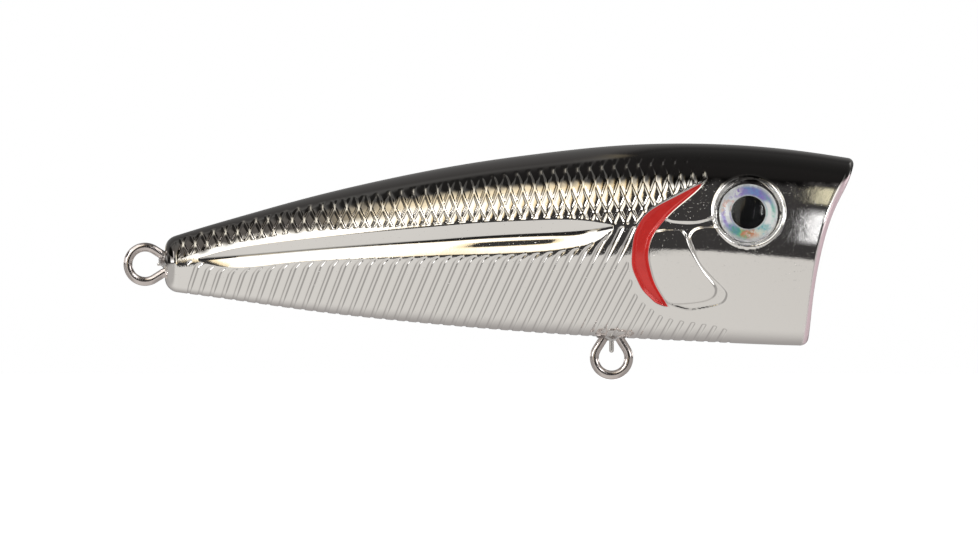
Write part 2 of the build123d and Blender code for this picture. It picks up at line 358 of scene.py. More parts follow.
def gill_relief(s, z):
    """The gill slash: a crescent sunk with sloping walls."""
    return GILL_DEPTH * smooth_step(-0.05, 0.42, gill_inside(s, z))


def closed_curve(points, steps=6):
    """A smooth closed line through the points (Catmull-Rom)."""
    p = np.array(points, float)
    t = np.linspace(0, 1, steps, endpoint=False)[:, None]
    out = []
    for i in range(len(p)):
        p0, p1, p2, p3 = p[i - 1], p[i], p[(i + 1) % len(p)], p[(i + 2) % len(p)]
        out.append(0.5 * (2 * p1 + (p2 - p0) * t + (2 * p0 - 5 * p1 + 4 * p2 - p3) * t**2
                          + (3 * p1 - p0 - 3 * p2 + p3) * t**3))
    return np.concatenate(out)


def inside_outline(at, outline):
    """Whether each point lies inside a closed outline."""
    inside = np.zeros(len(at), bool)
    for (x0, y0), (x1, y1) in zip(outline, np.roll(outline, -1, axis=0)):
        straddles = (y0 > at[:, 1]) != (y1 > at[:, 1])
        rise = y1 - y0 if abs(y1 - y0) > 1e-12 else 1e-12
        inside ^= straddles & (at[:, 0] < x0 + (at[:, 1] - y0) / rise * (x1 - x0))
    return inside


def inside_distance(s, z, outline):
    """Signed distance to a closed outline, positive inside."""
    nearest = np.full(s.shape, 1e9)
    for (s0, z0), (s1, z1) in zip(outline, np.roll(outline, -1, axis=0)):
        ds, dz = s1 - s0, z1 - z0
        t = np.clip(((s - s0) * ds + (z - z0) * dz) / (ds * ds + dz * dz), 0, 1)
        nearest = np.minimum(nearest, np.hypot(s - s0 - t * ds, z - z0 - t * dz))
    return np.where(inside_outline(np.stack([s, z], axis=-1), outline), nearest, -nearest)


def cover_relief(s, z):
    """The channel that outlines the gill cover."""
    sunk = np.zeros(s.shape)
    near = (s > COVER_STATIONS[0]) & (s < COVER_STATIONS[1])
    near &= (z > COVER_HEIGHTS[0]) & (z < COVER_HEIGHTS[1])
    inside = inside_distance(s[near], z[near], closed_curve(COVER_CHANNEL))
    sunk[near] = CHANNEL_DEPTH * smooth_step(-0.04, CHANNEL_WALL, inside)
    return sunk


def relief(s, z):
    """All that is sunk into the plain body, by side view, in millimetres."""
    engraved = np.where(s < FINE_END + 0.6, 1.0, 0.0)
    ribs = rib_relief(s, z) * (z < RIB_TOP)
    flank = np.where(scale_zone(s, z) > 0, scale_relief(s, z), ribs) * engraved
    return flank + spear_relief(s, z) + np.maximum(gill_relief(s, z), cover_relief(s, z))


def eye_centre(side):
    """The middle of an eye's plane, in station, side and height."""
    return np.array([EYE_CENTRE[0], side * EYE_CENTRE[1], EYE_CENTRE[2]])


def sink_eye(points, normals, side):
    """Sinks the flat-bottomed eye socket and raises the bead round it."""
    tilt = radians(EYE_TILT)
    facing = np.array([0, side * cos(tilt), sin(tilt)])
    height = (points - eye_centre(side)) @ facing
    radius = np.hypot(points[..., 0] - RING_CENTRE[0], points[..., 2] - RING_CENTRE[1])
    down = (height - SOCKET_FLOOR) / np.maximum(normals @ facing, 0.3)
    socket = smooth_step(SOCKET_RADIUS + 0.06, SOCKET_RADIUS - 0.1, radius)
    bead = RING_HEIGHT * np.sqrt(np.clip(1 - ((radius - RING_RADIUS) / RING_HALF_WIDTH) ** 2, 0, 1))
    return points - normals * (down * socket - bead * (1 - socket))[..., None]


# ---- The body halves ----
def section_points(s, angle, side):
    """Points of the plain body at stations s and angles down from the back."""
    top, low = BACK(s), BELLY(s)
    y = side * HALF_WIDTH(s) * np.sin(angle)
    z = (top + low) / 2 + (top - low) / 2 * np.cos(angle)
    return np.stack([s + 0 * angle, y, z], axis=-1)


def rounded_edge(edge, first, second, radius, steps):
    """A round along an edge line: it leaves along the first directions and arrives along the second."""
    half = np.arccos(np.clip(np.sum(first * second, axis=-1), -1, 1)) / 2
    reach = (radius / np.tan(half))[:, None]
    weight = np.sin(half)[:, None]
    start, finish = edge + first * reach, edge + second * reach
    rings = []
    for t in np.linspace(0, 1, steps + 1):
        a, b, c = (1 - t) ** 2, 2 * t * (1 - t) * weight, t * t
        rings.append((a * start + b * edge + c * finish) / (a + b + c))
    return rings


def along_rows(line):
    """The direction of a line of points from row to row, square to the seam at its two ends."""
    mirrored = np.array([1, -1, 1])
    padded = np.concatenate([line[1:2] * mirrored, line, line[-2:-1] * mirrored])
    return unit(padded[2:] - padded[:-2])


def square_to(direction, edge_direction):
    """A direction made square to the edge line."""
    return unit(direction - np.sum(direction * edge_direction, axis=-1, keepdims=True) * edge_direction)


def aimed(direction, toward):
    """A direction at length 1, turned round where it points away from toward."""
    direction = unit(direction)
    return direction * np.sign(np.sum(direction * toward, axis=-1, keepdims=True))


def across_land(edge, toward):
    """Directions in the rim's surface, square to an edge line."""
    slope = rim_slope(edge[:, 2])
    forward = unit(np.stack([np.ones(slope.shape), 0 * slope, -slope], axis=-1))
    return aimed(np.cross(along_rows(edge), forward), toward)


def rim_edge(angle, side):
    """The sharp edge where the plain body meets the rim's surface, one point for each row."""
    s = np.full(angle.shape, 78.0)
    for _ in range(25):
        s = RIM_STATION(section_points(s, angle, side)[:, 2])
    return section_points(s, angle, side)


def rim_slope(z):
    """How fast the rim's station changes with height."""
    return (RIM_STATION(z + 0.01) - RIM_STATION(z - 0.01)) / 0.02


def cup_frame():
    """The cup's long axis and its depth axis, in station and height."""
    lean = radians(CUP_LEAN)
    return np.array([sin(lean), cos(lean)]), np.array([cos(lean), -sin(lean)])


def cup_coordinates(s, z):
    """Where a point of the middle plane lies in the cup, in parts of the cup's own size."""
    long_axis, deep_axis = cup_frame()
    ds, dz = s - CUP_CENTRE[0], z - CUP_CENTRE[1]
    along = (ds * long_axis[0] + dz * long_axis[1]) / CUP_HALF_HEIGHT
    deep = (ds * deep_axis[0] + dz * deep_axis[1]) / CUP_DEPTH
    return along, deep


def lip_edge(angle, side):
    """The sharp edge where the rim's surface meets the cup, one point for each row."""
    heights = np.linspace(-12.5, 12.0, 4000)
    along, deep = cup_coordinates(RIM_STATION(heights), heights)
    within = heights[along**2 + deep**2 < 1]
    low, high = within.min(), within.max()
    z = (low + high) / 2 + (high - low) / 2 * np.cos(angle)
    s = RIM_STATION(z)
    along, deep = cup_coordinates(s, z)
    y = side * CUP_DEPTH * np.sqrt(np.clip(1 - along**2 - deep**2, 0, 1))
    y[[0, -1]] = 0
    return np.stack([s, y, z], axis=-1)


def cup_rings(lip, steps):
    """Rings from the lip to the deepest point of the cup, along great circles of the cup."""
    long_axis, deep_axis = cup_frame()
    along, deep = cup_coordinates(lip[:, 0], lip[:, 2])
    ball = unit(np.stack([along, deep, lip[:, 1] / CUP_DEPTH], axis=-1))
    pole = np.array([0.0, -1.0, 0.0])
    swing = np.arccos(np.clip(ball @ pole, -1, 1))[:, None]
    rings = []
    for t in np.linspace(0, 1, steps + 1):
        p = (np.sin((1 - t) * swing) * ball + np.sin(t * swing) * pole) / np.sin(swing)
        ds = p[:, 0] * CUP_HALF_HEIGHT * long_axis[0] + p[:, 1] * CUP_DEPTH * deep_axis[0]
        dz = p[:, 0] * CUP_HALF_HEIGHT * long_axis[1] + p[:, 1] * CUP_DEPTH * deep_axis[1]
        rings.append(np.stack([CUP_CENTRE[0] + ds, p[:, 2] * CUP_DEPTH, CUP_CENTRE[1] + dz], axis=-1))
    return rings


def outer_columns():
    """Nominal stations of the skin's columns, fine where the relief is."""
    fine = np.arange(0, FINE_END, FINE_STEP)
    eye = np.arange(FINE_END, EYE_END, EYE_STEP)
    head = np.linspace(EYE_END, HEAD_END, HEAD_COLUMNS)
    return np.concatenate([fine, eye, head])


def skin_stations(first, last):
    """Each column's stations, spread so that it meets the tail's round and the rim's."""
    nominal = outer_columns()[:, None]
    tail, head = TAIL_COLUMNS_END, HEAD_END - EYE_END
    s = np.where(nominal < tail, first + nominal / tail * (tail - first), nominal)
    return np.where(nominal > EYE_END, EYE_END + (nominal - EYE_END) / head * (last - EYE_END), s)


def skin_paint(s, z, slope):
    """What paints the skin, by station, height and how steep the relief is, with painted shade: dark lines on
    steep walls below the spear groove, along the spear's valley and just in front of the gill slash.
    """
    along_spear = np.clip(s, *SPEAR_SPAN)
    below = smooth_step(1.0, -0.4, z - np.where(s < SPEAR_SPAN[1], SPEAR_FOOT(along_spear), 0.5))
    # painted shade: a dark line along the spear groove's valley
    valley_painted_shade = smooth_step(0.2, 0.08, np.abs(z - SPEAR_DEEP(along_spear) - 0.03)) * smooth_step(3.8, 5.0, s)
    valley_painted_shade = valley_painted_shade * smooth_step(53.0, 50.0, s)
    # painted shade: a dark line just in front of the gill slash's front edge
    beside_gill = (s - GILL_FRONT(np.clip(z, *GILL_SPAN))) * GILL_SQUARE
    gill_edge_painted_shade = np.exp(-((beside_gill - 0.1) / 0.06) ** 2)
    gill_edge_painted_shade = gill_edge_painted_shade * smooth_step(-7.4, -6.8, z) * smooth_step(6.5, 3.0, z)
    steep = smooth_step(0.15, 0.6, slope)
    a, b = scale_coordinates(s, z)
    crossing = ((a - np.round(a)) ** 2 + (b - np.round(b)) ** 2) * SCALE_PITCH**2
    zone = scale_zone(s, z)
    return {
        "gill": 1 + gill_inside(s, z) - bare_bevel(s, z),
        "crossing": np.exp(-crossing / np.where(s < 27, 0.22, 0.17) ** 2) * zone,
        "scales": zone,
        # painted shade on steep walls below the spear groove, by the gill and in the spear's valley
        "groove_painted_shade": 0.2 * steep * below + 0.5 * gill_edge_painted_shade + 0.75 * valley_painted_shade,
        # painted shade: the steep walls of the scale grooves are darkened in colour
        "scale_groove_painted_shade": smooth_step(0.3, 0.65, slope) * zone * smooth_step(56.0, 48.0, s),
    }


def outer_skin(start, finish, angle, side):
    """The skin from the tail rounding to the rim rounding, with its relief, and what paints it."""
    s0, s1 = start[None, :, 0], finish[None, :, 0]
    s = skin_stations(s0, s1)
    plain = section_points(s, angle[None, :], side)
    normals = unit(np.cross(np.gradient(plain, axis=0), np.gradient(plain, axis=1))) * side
    normals[:, [0, -1], 1] = 0
    normals = unit(normals)
    z = plain[..., 2]
    fade = smooth_step(0.0, 0.6, s - s0) * smooth_step(0.0, 0.6, s1 - s)
    sunk = relief(s, z) * fade
    slope = np.hypot(np.gradient(sunk, axis=0) / np.gradient(s, axis=0),
                     np.gradient(sunk, axis=1) / np.maximum(np.abs(np.gradient(z, axis=1)), 0.02))
    points = sink_eye(plain - normals * sunk[..., None], normals, side)
    points[:, [0, -1], 1] = 0
    points[0], points[-1] = start, finish
    return points, skin_paint(s, z, slope)


def tail_rings(angle, side):
    """The flat tail face and the round that leads from it to the flank."""
    edge = section_points(np.zeros(angle.shape), angle, side)
    ahead = section_points(np.full(angle.shape, 0.3), angle, side)
    row = along_rows(edge)
    centre = np.array([0.0, 0.0, (BACK(0.0) + BELLY(0.0)) / 2])
    inward = aimed(np.cross(row, [1.0, 0.0, 0.0]), centre - edge)
    forward = square_to(ahead - edge, row)
    round_rings = rounded_edge(edge, inward, forward, TAIL_ROUNDING, ROUND_STEPS)
    face = [centre + (round_rings[0] - centre) * t for t in np.linspace(0, 1, 8)[:-1]]
    return face, round_rings


def mouth_rings(angle, side):
    """The rim's round, the land, the lip's round and the cup, as rings from the flank inwards."""
    middle = np.array(MOUTH_MIDDLE)
    edge = rim_edge(angle, side)
    behind = square_to(section_points(edge[:, 0] - 0.3, angle, side) - edge, along_rows(edge))
    outer = rounded_edge(edge, behind, across_land(edge, middle - edge), RIM_RADIUS(edge[:, 2]), ROUND_STEPS)

    lip = lip_edge(angle, side)
    bowl = cup_rings(lip, CUP_STEPS)
    into_cup = square_to(bowl[1] - bowl[0], along_rows(lip))
    inner = rounded_edge(lip, across_land(lip, lip - middle), into_cup, LIP_RADIUS(lip[:, 2]), LIP_STEPS)
    land = [outer[-1] + (inner[0] - outer[-1]) * t for t in (0.33, 0.67)]
    starts = np.linalg.norm(inner[-1] - lip, axis=-1) / np.linalg.norm(bowl[1] - bowl[0], axis=-1)
    first = int(np.ceil(starts.max())) + 2
    picks = np.unique(np.linspace(first, CUP_STEPS, CUP_RINGS).astype(int))
    return outer, land + inner + [bowl[i] for i in picks]


def skin_rings(side):
    """Every ring of a half's outside, from the middle of the tail face to the bottom of the cup."""
    angle = np.linspace(0, pi, ROWS)
    face, tail = tail_rings(angle, side)
    rim, mouth = mouth_rings(angle, side)
    skin, paint = outer_skin(tail[-1], rim[0], angle, side)
    before, after = face + tail[:-1], rim[1:] + mouth
    rings = np.concatenate([np.stack(before), skin, np.stack(after)])
    full = {}
    for name, value in paint.items():
        full[name] = np.pad(value, ((len(before), len(after)), (0, 0)))
    full["above_fade"] = rings[..., 2] - BACK_FADE(rings[..., 0])
    full["mouth"] = np.zeros(rings.shape[:2])
    full["mouth"][len(before) + len(skin):] = (np.arange(1, len(after) + 1) / 10)[:, None]
    return rings, full


def weld(points, faces, limit):
    """Merges points that lie within the limit of each other, and drops faces that vanish."""
    keys = np.round(points / limit).astype(np.int64)
    _, first, back = np.unique(keys, axis=0, return_index=True, return_inverse=True)
    back = back.ravel()
    merged = back[faces]
    keep = (merged[:, 0] != merged[:, 1]) & (merged[:, 1] != merged[:, 2]) & (merged[:, 2] != merged[:, 0])
    return points[first], merged[keep]


def connected_groups(count, faces):
    """A group number for each face: faces that share points share a group."""
    label = np.arange(count)
    while True:
        lowest = label[faces].min(axis=1)
        new = label.copy()
        for k in range(3):
            np.minimum.at(new, faces[:, k], lowest)
        new = new[new]
        if np.array_equal(new, label):
            return label[faces[:, 0]]
        label = new


def hollow_walls(node):
    """The inside walls of a CAD half: the faces that are neither on the seam nor part of its outside."""
    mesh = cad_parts[node].data
    mesh.calc_loop_triangles()
    points = np.zeros(len(mesh.vertices) * 3)
    mesh.vertices.foreach_get("co", points)
    faces = np.zeros(len(mesh.loop_triangles) * 3, int)
    mesh.loop_triangles.foreach_get("vertices", faces)
    points, faces = weld(points.reshape(-1, 3) * 1000, faces.reshape(-1, 3), 1e-4)
    points += np.array([LINE_TIE[0], 0, LINE_TIE[1]])
    on_seam = (np.abs(points[:, 1]) < 1e-3)[faces].all(axis=1)
    faces = faces[~on_seam]
    group = connected_groups(len(points), faces)
    kept = []
    for number in np.unique(group):
        part = faces[group == number]
        corners = points[np.unique(part)]
        s, z = corners[:, 0], corners[:, 2]
        y = np.abs(corners[:, 1])
        top, low = BACK(s), BELLY(s)
        out = np.hypot(y / HALF_WIDTH(s), (z - (top + low) / 2) / ((top - low) / 2))
        if out.max() < 0.99:
            kept.append(part)
    faces = np.concatenate(kept)
    used, faces = np.unique(faces, return_inverse=True)
    return points[used], faces.reshape(-1, 3)


def open_loops(faces):
    """The closed loops of edges that only one triangle has."""
    edges = np.concatenate([faces[:, [0, 1]], faces[:, [1, 2]], faces[:, [2, 0]]])
    present = set(map(tuple, edges))
    follow = {a: b for a, b in map(tuple, edges) if (b, a) not in present}
    loops = []
    while follow:
        start, at = follow.popitem()
        loop = [start]
        while at != start:
            loop.append(at)
            at = follow.pop(at)
        loops.append(loop)
    return loops


def seam_faces(points, loops):
    """Triangles that fill the flat seam: the first loop is its outline, and the rest are holes."""
    flat = [Vector((points[i, 0], points[i, 2])) for loop in loops for i in loop]
    number = [i for loop in loops for i in loop]
    edges, at = [], 0
    for loop in loops:
        edges += [(at + k, at + (k + 1) % len(loop)) for k in range(len(loop))]
        at += len(loop)
    made, _, triangles, origin, _, _ = delaunay_2d_cdt(flat, edges, [], 0, 1e-7)
    index = [number[o[0]] if o else -1 for o in origin]
    corners = np.array([(v.x, v.y) for v in made])
    tri = np.array([t for t in triangles if all(index[k] >= 0 for k in t)])
    middle = corners[tri].mean(axis=1)
    inside = np.zeros(len(tri), bool)
    for loop in loops:
        inside ^= inside_outline(middle, points[loop][:, [0, 2]])
    return np.array(index)[tri[inside]]


def make_object(name, points, faces, materials, face_material=None, layers=None, crease=65.0):
    """A smooth-shaded mesh object from points in the row frame."""
    mesh = bpy.data.meshes.new(name)
    mesh.from_pydata(np.asarray(points).tolist(), [], [list(f) for f in faces])
    for material in materials:
        mesh.materials.append(material)
    if face_material is not None:
        mesh.polygons.foreach_set("material_index", np.asarray(face_material, np.int32))
    for layer, values in (layers or {}).items():
        attribute = mesh.attributes.new(layer, "FLOAT", "POINT")
        attribute.data.foreach_set("value", np.asarray(values, np.float32))
    mesh.polygons.foreach_set("use_smooth", np.ones(len(mesh.polygons), bool))
    mesh.update()
    mesh.set_sharp_from_angle(angle=radians(crease))
    thing = bpy.data.objects.new(name, mesh)
    bpy.context.scene.collection.objects.link(thing)
    return thing


def mounted(piece, node):
    """The piece rides on the lure's body, in the place of a CAD node."""
    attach(piece, "lure_body")
    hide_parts(node)


def body_half(name, node, side, plated, bare):
    """One plated half: outside skin with its relief, the seam face, and the hollow of its CAD node."""
    rings, paint = skin_rings(side)
    count = len(rings)
    index = np.arange(1, 1 + (count - 2) * ROWS).reshape(count - 2, ROWS)
    first, last = 0, 1 + (count - 2) * ROWS
    points = np.concatenate([rings[0, :1], rings[1:-1].reshape(-1, 3), rings[-1, :1]])
    layers = {
        key: np.concatenate([value[0, :1], value[1:-1].reshape(-1), value[-1, :1]])
        for key, value in paint.items()
    }
    quads = np.stack([index[:-1, :-1], index[:-1, 1:], index[1:, 1:], index[1:, :-1]], axis=-1).reshape(-1, 4)
    tail_fan = [(first, b, a) for a, b in zip(index[0, :-1], index[0, 1:])]
    cup_fan = [(last, a, b) for a, b in zip(index[-1, :-1], index[-1, 1:])]
    outside = [tuple(q) for q in quads] + tail_fan + cup_fan
    outline = [first, *index[:, 0], last, *index[::-1, -1]]

    walls, wall_faces = hollow_walls(node)
    base = len(points)
    points = np.concatenate([points, walls])
    wall_faces = wall_faces + base
    seam = seam_faces(points, [outline] + open_loops(wall_faces))
    if side > 0:
        outside = [f[::-1] for f in outside]
    corner, second, third = (points[seam[:, k]] for k in range(3))
    seam_normal = np.cross(second - corner, third - corner)[:, 1]
    seam = np.where((seam_normal * side < 0)[:, None], seam, seam[:, ::-1])
    faces = outside + [tuple(f) for f in wall_faces] + [tuple(f) for f in seam]
    layers = {key: np.concatenate([value, np.zeros(len(walls))]) for key, value in layers.items()}
    which = [0] * len(outside) + [1] * (len(wall_faces) + len(seam))
    half = make_object(name, to_frame(points), faces, [plated, bare], which, layers)
    mounted(half, node)


# ---- Materials ----
class Graph:
    """A node tree under construction."""

    def __init__(self, tree):
        self.tree = tree
        tree.nodes.clear()

    def add(self, kind, inputs=None, **properties):
        """A new node: inputs are linked if they are sockets and set if they are values."""
        node = self.tree.nodes.new(kind)
        for key, value in properties.items():
            setattr(node, key, value)
        for key, value in (inputs or {}).items():
            if isinstance(value, bpy.types.NodeSocket):
                self.tree.links.new(value, node.inputs[key])
            else:
                node.inputs[key].default_value = value
        return node

    def math(self, operation, a, b=0.0):
        """The result of a sum on one or two numbers."""
        return self.add("ShaderNodeMath", {0: a, 1: b}, operation=operation).outputs[0]

    def times(self, a, b):
        """The product of two numbers."""
        return self.math("MULTIPLY", a, b)

    def plus(self, a, b):
        """The sum of two numbers."""
        return self.math("ADD", a, b)

    def minus(self, a, b):
        """The first number less the second."""
        return self.math("SUBTRACT", a, b)

    def step(self, value, low, high):
        """0 below low, 1 above high, smooth between."""
        inputs = {"Value": value, "From Min": low, "From Max": high}
        return self.add("ShaderNodeMapRange", inputs, interpolation_type="SMOOTHSTEP").outputs["Result"]

    def mix(self, share, a, b):
        """Colour a where share is 0 and b where it is 1."""
        node = self.add("ShaderNodeMix", data_type="RGBA")
        for key, value in ((0, share), (6, a), (7, b)):
            if isinstance(value, bpy.types.NodeSocket):
                self.tree.links.new(value, node.inputs[key])
            else:
                node.inputs[key].default_value = (*value, 1.0) if key else value
        return node.outputs[2]

    def layer(self, name):
        """A number that the mesh carries at each point."""
        return self.add("ShaderNodeAttribute", attribute_name=name).outputs["Fac"]

    def noise(self, size, detail=2.0, roughness=0.5, where=None):
        """Noise with features of about the given size in metres."""
        where = where or self.add("ShaderNodeTexCoord").outputs["Object"]
        inputs = {"Vector": where, "Scale": 1 / size, "Detail": detail, "Roughness": roughness}
        return self.add("ShaderNodeTexNoise", inputs).outputs["Fac"]

    def bump(self, height, distance, normal=None):
        """A normal bumped by height, in metres."""
        inputs = {"Height": height, "Distance": distance, "Strength": 1.0}
        if normal is not None:
            inputs["Normal"] = normal
        return self.add("ShaderNodeBump", inputs).outputs["Normal"]


def new_material(name):
    """An empty material and its graph."""
    material = bpy.data.materials.new(name)
    material.use_nodes = True
    return material, Graph(material.node_tree)


def finish_material(material, graph, inputs):
    """Puts a Principled shader with these inputs on the material's output."""
    shader = graph.add("ShaderNodeBsdfPrincipled", inputs)
    graph.add("ShaderNodeOutputMaterial", {"Surface": shader.outputs["BSDF"]})
    return material


def back_colours(g, cloud, along):
    """Plating, browned and then sprayed black up the back, with worn dots where the scale lines cross."""
    behind_head = g.step(along, -0.012, -0.021)
    warm = g.times(g.times(g.layer("scales"), 0.6), behind_head)
    plate = g.mix(warm, (0.92, 0.905, 0.885), (0.76, 0.70, 0.60))
    rough_edge = g.times(g.minus(cloud, 0.5), 1.6)
    above = g.plus(g.layer("above_fade"), rough_edge)
    brown = g.mix(g.step(along, -0.057, -0.040), (0.022, 0.016, 0.012), (0.62, 0.52, 0.36))
    tail = g.step(along, -0.040, -0.054)
    start = g.plus(above, g.times(tail, 0.9))
    browned = g.mix(g.times(g.step(start, -1.7, -0.6), behind_head), plate, brown)
    sprayed = g.mix(g.step(above, -0.7, 0.3), browned, (0.012, 0.010, 0.009))
    worn = g.times(g.layer("crossing"), g.step(above, 2.2, 1.0))
    return g.mix(g.times(worn, 0.8), sprayed, (0.85, 0.80, 0.70))


def mouth_colours(g, cloud, height):
    """The colour from the rim to the cup, and how far over the lip it has come."""
    mouth = g.layer("mouth")
    rim = g.mix(cloud, (0.54, 0.40, 0.43), (0.62, 0.48, 0.51))
    cup = g.mix(cloud, (0.44, 0.085, 0.10), (0.52, 0.12, 0.14))
    late = g.times(g.step(g.minus(height, 0.0075), 0.0, 0.002), 0.75)
    lip = g.step(g.minus(mouth, late), 0.02, 0.35)
    return g.mix(g.step(mouth, 1.6, 2.6), rim, cup), lip


def plating_normal(g, grain):
    """Slow waves, ripples, sparse flecks and a fine grain in the plating."""
    rippled = g.bump(g.noise(0.0009, 2.0), 0.000006, g.bump(g.noise(0.006, 1.0), 0.00001))
    flecks = g.step(g.noise(0.00017, 1.0), 0.71, 0.79)
    flecked = g.bump(flecks, 0.000009, rippled)
    return g.bump(grain, 0.0000027, flecked)


def plated_finish():
    """Bright plating under clear coat, black sprayed along the back, red gill and mouth, and painted shade
    that darkens groove walls, the spear's valley and a line by the gill.
    """
    material, g = new_material("plated_finish")
    grain = g.noise(0.00016, 3.0, 0.6)
    cloud = g.noise(0.0016, 2.0)
    where = g.add("ShaderNodeTexCoord").outputs["Object"]
    split = g.add("ShaderNodeSeparateXYZ", {"Vector": where}).outputs
    dotted = back_colours(g, cloud, split["X"])
    # painted shade: dark brown on the steep walls of the scale grooves
    with_scale_groove_shade = g.mix(g.times(g.layer("scale_groove_painted_shade"), 0.7), dotted, (0.05, 0.04, 0.032))
    # painted shade: rib and channel walls, the spear's valley and a line by the gill darkened to grey
    with_groove_shade = g.mix(g.layer("groove_painted_shade"), with_scale_groove_shade, (0.14, 0.135, 0.13))
    gill = g.step(g.minus(g.layer("gill"), 1.0), -0.06, 0.02)
    red = g.mix(cloud, (0.50, 0.012, 0.010), (0.60, 0.026, 0.020))
    inside, lip = mouth_colours(g, cloud, split["Z"])
    painted = g.math("MAXIMUM", gill, lip)
    rough = g.plus(g.times(grain, 0.05), g.times(painted, 0.2))
    return finish_material(material, g, {
        "Base Color": g.mix(lip, g.mix(gill, with_groove_shade, red), inside),
        "Metallic": g.minus(1.0, g.times(painted, 0.85)),
        "Roughness": g.plus(rough, 0.03),
        "Normal": plating_normal(g, grain),
        "Coat Weight": g.minus(1.0, g.times(painted, 0.6)),
        "Coat Roughness": 0.03,
    })


def moulded_plastic():
    """The bare plastic inside the shell and on the seam."""
    material, g = new_material("moulded_plastic")
    cloud = g.noise(0.003, 3.0)
    colour = g.mix(cloud, (0.62, 0.63, 0.62), (0.70, 0.70, 0.68))
    normal = g.bump(g.noise(0.0003), 0.000004)
    return finish_material(material, g, {"Base Color": colour, "Roughness": 0.35, "Normal": normal})


def metal_finish(name, dark, light, rough, grain_size, depth):
    """Plain metal with fine marks and a little staining."""
    material, g = new_material(name)
    stain = g.noise(grain_size * 8, 3.0)
    marks = g.noise(grain_size, 2.0)
    colour = g.mix(stain, dark, light)
    roughness = g.plus(g.times(marks, 0.12), rough)
    normal = g.bump(marks, depth)
    return finish_material(material, g, {
        "Base Color": colour, "Metallic": 1.0, "Roughness": roughness, "Normal": normal,
    })


def foil_band(g, share):
    """The foil's colours round the eye."""
    stops = [
        # share of a turn from the rear, going down and forward
        (0.00, (0.95, 0.90, 0.82)), (0.04, (0.80, 0.15, 0.05)), (0.08, (0.95, 0.88, 0.70)),
        (0.13, (0.26, 0.12, 0.66)), (0.18, (0.50, 0.46, 0.90)), (0.24, (0.05, 0.46, 0.42)),
        (0.29, (0.20, 0.70, 0.30)), (0.34, (0.86, 0.26, 0.08)), (0.40, (0.95, 0.92, 0.80)),
        (0.48, (0.10, 0.55, 0.60)), (0.54, (0.96, 0.97, 0.95)), (0.62, (0.14, 0.60, 0.46)),
        (0.75, (0.30, 0.14, 0.70)), (0.82, (0.16, 0.40, 0.80)),
        (0.90, (0.40, 0.24, 0.74)), (0.96, (0.95, 0.94, 0.98)),
    ]
    ramp = g.add("ShaderNodeValToRGB", {"Fac": share})
    band = ramp.color_ramp
    while len(band.elements) < len(stops):
        band.elements.new(0.5)
    for element, (position, tint) in zip(band.elements, stops):
        element.position = position
        element.color = (*tint, 1.0)
    return ramp.outputs["Color"]


def foil_finish():
    """Holographic foil: silver broken into soft patches of colour round the eye, with painted white highlight
    arcs left and right of the pupil.
    """
    material, g = new_material("holographic_foil")
    u, v = g.layer("local_x"), g.layer("local_y")
    where = g.add("ShaderNodeCombineXYZ", {"X": u, "Y": v}).outputs["Vector"]
    turn = g.plus(g.math("DIVIDE", g.math("ARCTAN2", v, u), 2 * pi), 0.5)
    radius = g.math("SQRT", g.plus(g.times(u, u), g.times(v, v)))
    ripple = g.noise(0.0007, 2.0, 0.6, where)
    tiles = g.add("ShaderNodeTexVoronoi", {"Vector": where, "Scale": 1 / 0.0004}).outputs["Color"]
    sparkle = g.add("ShaderNodeSeparateColor", {"Color": tiles}).outputs[0]
    jitter = g.plus(g.times(ripple, 0.12), g.times(sparkle, 0.07))
    hues = foil_band(g, g.math("FRACT", g.plus(turn, jitter)))
    silver = g.mix(sparkle, (0.72, 0.73, 0.74), (1.0, 1.0, 1.0))
    patch = g.times(g.step(radius, 0.0019, 0.0022), g.step(radius, 0.0033, 0.0028))
    colour = g.mix(g.times(patch, 0.9), silver, hues)
    # painted highlight: white arcs left and right of the pupil, standing in for the dome's reflection of
    # lamps
    painted_highlight_arcs = g.times(g.step(radius, 0.00205, 0.0022), g.step(radius, 0.0028, 0.0025))
    painted_highlight_arcs = g.times(painted_highlight_arcs, g.step(g.math("ABSOLUTE", v), 0.0016, 0.0010))
    return finish_material(material, g, {
        "Base Color": g.mix(painted_highlight_arcs, colour, (1.0, 1.0, 1.0)),
        "Metallic": 0.15,
        "Roughness": 0.3,
        "Normal": g.bump(sparkle, 0.00003),
    })


def pupil_finish():
    """Glossy black printing."""
    material, g = new_material("pupil_black")
    cloud = g.noise(0.0005)
    colour = g.mix(cloud, (0.004, 0.004, 0.005), (0.009, 0.009, 0.010))
    return finish_material(material, g, {"Base Color": colour, "Roughness": 0.2, "Specular IOR Level": 0.2})


def lacquer_finish():
    """Lacquer pooled thick over the plating, stained darker in random patches."""
    material, g = new_material("pooled_lacquer")
    cloud = g.noise(0.0008, 2.0)
    colour = g.mix(g.step(cloud, 0.42, 0.58), (0.17, 0.145, 0.135), (0.46, 0.45, 0.44))
    normal = g.bump(g.noise(0.0006), 0.00002)
    return finish_material(material, g, {
        "Base Color": colour, "Metallic": 0.4, "Roughness": 0.2, "Coat Weight": 0.6, "Coat Roughness": 0.05,
        "Normal": normal,
    })


def clear_finish(name, tint, rough):
    """Clear resin, with a faint ripple."""
    material, g = new_material(name)
    normal = g.bump(g.noise(0.002), 0.000004)
    colour = g.mix(g.noise(0.0015), tint, tuple(c * 0.97 for c in tint))
    return finish_material(material, g, {
        "Base Color": colour, "Roughness": rough, "Transmission Weight": 1.0, "IOR": 1.32, "Normal": normal,
    })


# ---- Eyes ----
def eye_matrix(side):
    """Places a piece at an eye: its X forward, its Y up the face and its Z out of the body."""
    tilt = radians(EYE_TILT)
    out = Vector((0, side * cos(tilt), sin(tilt)))
    forward = Vector((1, 0, 0))
    up = Vector((0, -side * sin(tilt), cos(tilt)))
    matrix = Matrix((forward, up, out)).transposed().to_4x4()
    matrix.translation = Vector(to_frame(eye_centre(side)))
    return matrix


